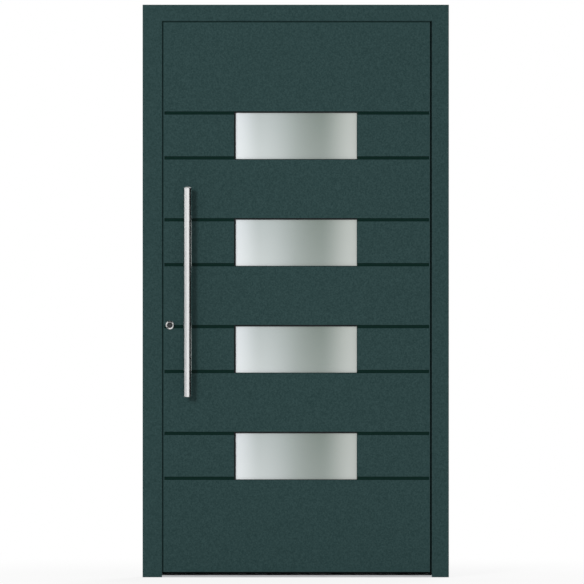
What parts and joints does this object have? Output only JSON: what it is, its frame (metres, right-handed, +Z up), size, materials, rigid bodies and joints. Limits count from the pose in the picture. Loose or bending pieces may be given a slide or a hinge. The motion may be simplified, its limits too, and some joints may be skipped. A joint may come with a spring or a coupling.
{
  "type": "front door",
  "caption": "Aluminium front door with frame: inward-opening insulated leaf with grooved cover sheet, satin glass strips, long pull bar, multipoint lock, lever and barrel hinges.",
  "frame": {"origin": "middle of the frame's width and depth at floor level, on the underside of the threshold", "axes": "+Z up, +Y inward through the door, +X to the right seen from outside"},
  "size_m": [1.15, 0.2155, 2.15],
  "materials": {
    "paint": "fine-texture matt powder coat, dark blue-green grey",
    "mill_aluminium": "natural anodised",
    "polyamide": "glass-filled black polyamide",
    "black_rubber": "matt black rubber",
    "black_spacer": "black warm-edge spacer",
    "foam": "rigid insulating foam",
    "satin_glass": "satin etched",
    "clear_glass": "clear float",
    "brushed_steel": "brushed stainless steel",
    "bright_nickel": "satin nickel on brass",
    "hinge_steel": "satin anodised silver",
    "zinc_steel": "zinc plated"
  },
  "bodies": {
    "frame": {"frame_jamb_lock": "paint", "frame_jamb_hinge": "paint", "frame_head": "paint", "frame_thermal_bars": "polyamide", "frame_corner_cleats": "mill_aluminium", "frame_gasket": "black_rubber", "threshold": "mill_aluminium", "threshold_core": "polyamide", "strike_main": "brushed_steel", "bolt_strikes": "brushed_steel", "hinge_frame_top": "hinge_steel", "hinge_frame_middle": "hinge_steel", "hinge_frame_bottom": "hinge_steel", "hinge_pins": "hinge_steel"},
    "keeper": {"latch_keeper": "zinc_steel"},
    "leaf": {"hinge_leaf_top": "hinge_steel", "hinge_leaf_middle": "hinge_steel", "hinge_leaf_bottom": "hinge_steel", "leaf_stile_lock": "paint", "leaf_stile_hinge": "paint", "leaf_rail_top": "paint", "leaf_rail_bottom": "paint", "leaf_thermal_bars": "polyamide", "leaf_corner_cleats": "mill_aluminium", "leaf_bottom_seal": "black_rubber", "outer_cover_sheet": "paint", "panel_core": "foam", "inner_sheet": "paint", "panel_beads": "paint", "glass_outer_1": "satin_glass", "glass_outer_2": "satin_glass", "glass_outer_3": "satin_glass", "glass_outer_4": "satin_glass", "glass_middle_panes": "clear_glass", "glass_inner_panes": "satin_glass", "glass_spacers": "black_spacer", "glazing_gaskets": "black_rubber", "glass_trim_frames": "paint", "pull_bar": "brushed_steel", "pull_cap_top": "brushed_steel", "pull_cap_bottom": "brushed_steel", "pull_post_upper": "brushed_steel", "pull_post_lower": "brushed_steel", "pull_bolts": "zinc_steel", "lock_case": "zinc_steel", "bolt_cases": "zinc_steel", "lock_faceplate": "brushed_steel", "cylinder_body": "bright_nickel", "cylinder_collar": "bright_nickel", "inner_escutcheon": "brushed_steel"},
    "lever": {"lever_handle": "brushed_steel", "lever_spindle": "zinc_steel", "lever_follower": "zinc_steel"},
    "latch": {"latch_bolt": "zinc_steel"},
    "key_plug": {"cylinder_plug": "bright_nickel"},
    "main_bolt": {"dead_bolt": "zinc_steel"},
    "top_bolt": {"upper_bolt": "zinc_steel"},
    "low_bolt": {"lower_bolt": "zinc_steel"},
    "top_rod": {"upper_drive_rod": "zinc_steel"},
    "low_rod": {"lower_drive_rod": "zinc_steel"}
  },
  "joints": [
    {"name": "leaf_swing", "type": "hinge", "parent": "frame", "child": "leaf", "pos_m": [0.529, 0.052, 0], "axis": [0, 0, -1], "range_deg": [0, 100]},
    {"name": "keeper_swing", "type": "hinge", "parent": "frame", "child": "keeper", "pos_m": [-0.5465, 0.024, 1.07], "axis": [0, 0, -1], "range_deg": [0, 82]},
    {"name": "lever_turn", "type": "hinge", "parent": "leaf", "child": "lever", "pos_m": [-0.4725, 0.06, 1.039], "axis": [0, 1, 0], "range_deg": [0, 40], "stiffness_Nm_per_rad": 1.5, "springref_deg": -34.38},
    {"name": "latch_slide", "type": "slide", "parent": "leaf", "child": "latch", "axis": [1, 0, 0], "range_m": [0, 0.019]},
    {"name": "key_turn", "type": "hinge", "parent": "leaf", "child": "key_plug", "pos_m": [-0.4725, 0, 0.947], "axis": [0, 1, 0], "range_deg": [0, 360]},
    {"name": "main_bolt_slide", "type": "slide", "parent": "leaf", "child": "main_bolt", "axis": [-1, 0, 0], "range_m": [0, 0.02]},
    {"name": "top_bolt_slide", "type": "slide", "parent": "leaf", "child": "top_bolt", "axis": [-1, 0, 0], "range_m": [0, 0.02]},
    {"name": "low_bolt_slide", "type": "slide", "parent": "leaf", "child": "low_bolt", "axis": [-1, 0, 0], "range_m": [0, 0.02]},
    {"name": "top_rod_slide", "type": "slide", "parent": "leaf", "child": "top_rod", "axis": [0, 0, 1], "range_m": [0, 0.018]},
    {"name": "low_rod_slide", "type": "slide", "parent": "leaf", "child": "low_rod", "axis": [0, 0, -1], "range_m": [0, 0.018]}
  ],
  "couplings": [
    {"joint": "latch_slide", "follows": "lever_turn", "m_per_rad": 0.0272},
    {"joint": "key_turn", "follows": "main_bolt_slide", "rad_per_m": 314.1},
    {"joint": "top_bolt_slide", "follows": "main_bolt_slide", "ratio": 1},
    {"joint": "low_bolt_slide", "follows": "main_bolt_slide", "ratio": 1},
    {"joint": "top_rod_slide", "follows": "main_bolt_slide", "ratio": 0.9},
    {"joint": "low_rod_slide", "follows": "main_bolt_slide", "ratio": 0.9}
  ]
}
